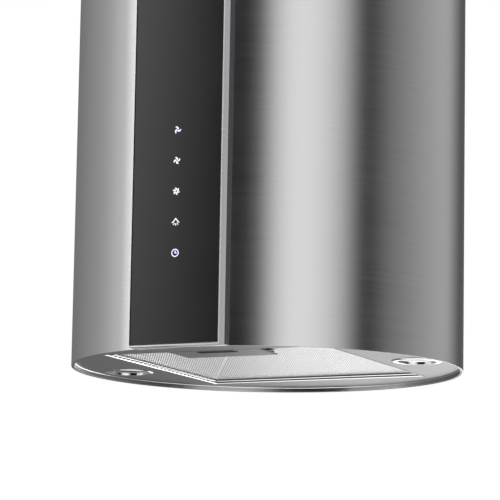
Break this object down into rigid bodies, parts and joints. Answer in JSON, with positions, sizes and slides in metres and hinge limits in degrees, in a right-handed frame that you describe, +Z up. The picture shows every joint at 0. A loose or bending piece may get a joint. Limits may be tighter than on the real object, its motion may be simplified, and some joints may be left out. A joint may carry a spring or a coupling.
{
  "type": "island range hood",
  "caption": "Cylindrical steel island cooker hood with a flush black glass touch panel, drop-down mesh grease filter, spot lamps and a telescopic ceiling sleeve.",
  "frame": {"origin": "centre of the ceiling plate's upper face, on the hood's axis", "axes": "+Z up along the hood's axis, the touch panel faces -Y, +X to the viewer's right when facing the panel"},
  "size_m": [0.3899, 0.407, 0.861],
  "materials": {
    "steel_casing": "brushed stainless steel, horizontal grain",
    "zinc_steel": "zinc plated steel",
    "screw_steel": "bright plated steel",
    "filter_aluminium": "bright aluminium",
    "touch_glass": "black back-painted glass, glossy",
    "foam_tape": "dark grey foam tape",
    "black_plastic": "black nylon",
    "circuit_board": "green solder resist",
    "led_white": "clear resin over white light source",
    "lamp_chrome": "polished chrome",
    "lamp_glass": "clear glass",
    "lamp_black": "black anodised die casting",
    "blower_plastic": "dark grey polypropylene",
    "motor_metal": "cast aluminium",
    "bush_rubber": "black rubber",
    "box_plastic": "light grey plastic"
  },
  "bodies": {
    "ceiling_mount": {"ceiling_plate": "zinc_steel", "upper_brace": "zinc_steel", "upper_post_front_left": "zinc_steel", "upper_post_front_right": "zinc_steel", "upper_post_rear_left": "zinc_steel", "upper_post_rear_right": "zinc_steel"},
    "hood": {"lower_post_front_left": "zinc_steel", "lower_post_front_right": "zinc_steel", "lower_post_rear_left": "zinc_steel", "lower_post_rear_right": "zinc_steel", "lower_brace": "zinc_steel", "frame_bolts": "screw_steel", "support_deck": "zinc_steel", "lower_casing": "steel_casing", "casing_screws": "screw_steel", "sleeve_guides": "black_plastic", "rim_ring": "steel_casing", "panel_channel": "steel_casing", "touch_glass": "touch_glass", "glass_tape": "foam_tape", "key_light_guide": "black_plastic", "touch_board": "circuit_board", "key_leds": "led_white", "bottom_plate": "steel_casing", "lamp_bezel_left": "lamp_chrome", "lamp_lens_left": "lamp_glass", "lamp_reflector_left": "lamp_chrome", "lamp_body_left": "lamp_black", "lamp_bezel_right": "lamp_chrome", "lamp_lens_right": "lamp_glass", "lamp_reflector_right": "lamp_chrome", "lamp_body_right": "lamp_black", "blower_shell_left": "blower_plastic", "blower_shell_right": "blower_plastic", "inlet_ring_left": "blower_plastic", "inlet_ring_right": "blower_plastic", "motor_case": "motor_metal", "motor_bearings": "screw_steel", "motor_bracket": "zinc_steel", "motor_bushes": "bush_rubber", "outlet_collar": "blower_plastic", "flap_rod": "screw_steel", "control_box": "box_plastic", "control_box_cover": "box_plastic", "control_board": "circuit_board", "cable_gland": "black_plastic", "capacitor": "motor_metal"},
    "sleeve": {"upper_sleeve": "steel_casing"},
    "grease_filter": {"filter_frame": "filter_aluminium", "filter_mesh_lower": "filter_aluminium", "filter_mesh_core": "filter_aluminium", "filter_mesh_upper": "filter_aluminium", "filter_rear_tabs": "filter_aluminium", "latch_plate": "filter_aluminium", "latch_springs": "screw_steel"},
    "latch": {"latch_slider": "filter_aluminium"},
    "rotor": {"impeller": "blower_plastic", "motor_shaft": "screw_steel"},
    "flap_front_body": {"front_flap": "blower_plastic"},
    "flap_rear_body": {"rear_flap": "blower_plastic"}
  },
  "joints": [
    {"name": "height_setting", "type": "slide", "parent": "ceiling_mount", "child": "hood", "axis": [0, 0, 1], "range_m": [-0.08, 0]},
    {"name": "sleeve_slide", "type": "slide", "parent": "ceiling_mount", "child": "sleeve", "axis": [0, 0, 1], "range_m": [-0.12, 0]},
    {"name": "filter_drop", "type": "hinge", "parent": "hood", "child": "grease_filter", "pos_m": [0, 0.127, -0.854], "axis": [1, 0, 0], "range_deg": [0, 80]},
    {"name": "latch_pull", "type": "slide", "parent": "grease_filter", "child": "latch", "axis": [0, 1, 0], "range_m": [0, 0.006], "stiffness_N_per_m": 400, "springref_m": -0.005, "deforming": ["latch_springs"]},
    {"name": "rotor_spin", "type": "hinge", "parent": "hood", "child": "rotor", "pos_m": [0, 0, -0.695], "axis": [1, 0, 0], "continuous": true},
    {"name": "front_flap_swing", "type": "hinge", "parent": "hood", "child": "flap_front_body", "pos_m": [0, 0, -0.5554], "axis": [-1, 0, 0], "range_deg": [0, 75]},
    {"name": "rear_flap_swing", "type": "hinge", "parent": "hood", "child": "flap_rear_body", "pos_m": [0, 0, -0.5554], "axis": [1, 0, 0], "range_deg": [0, 75]}
  ]
}
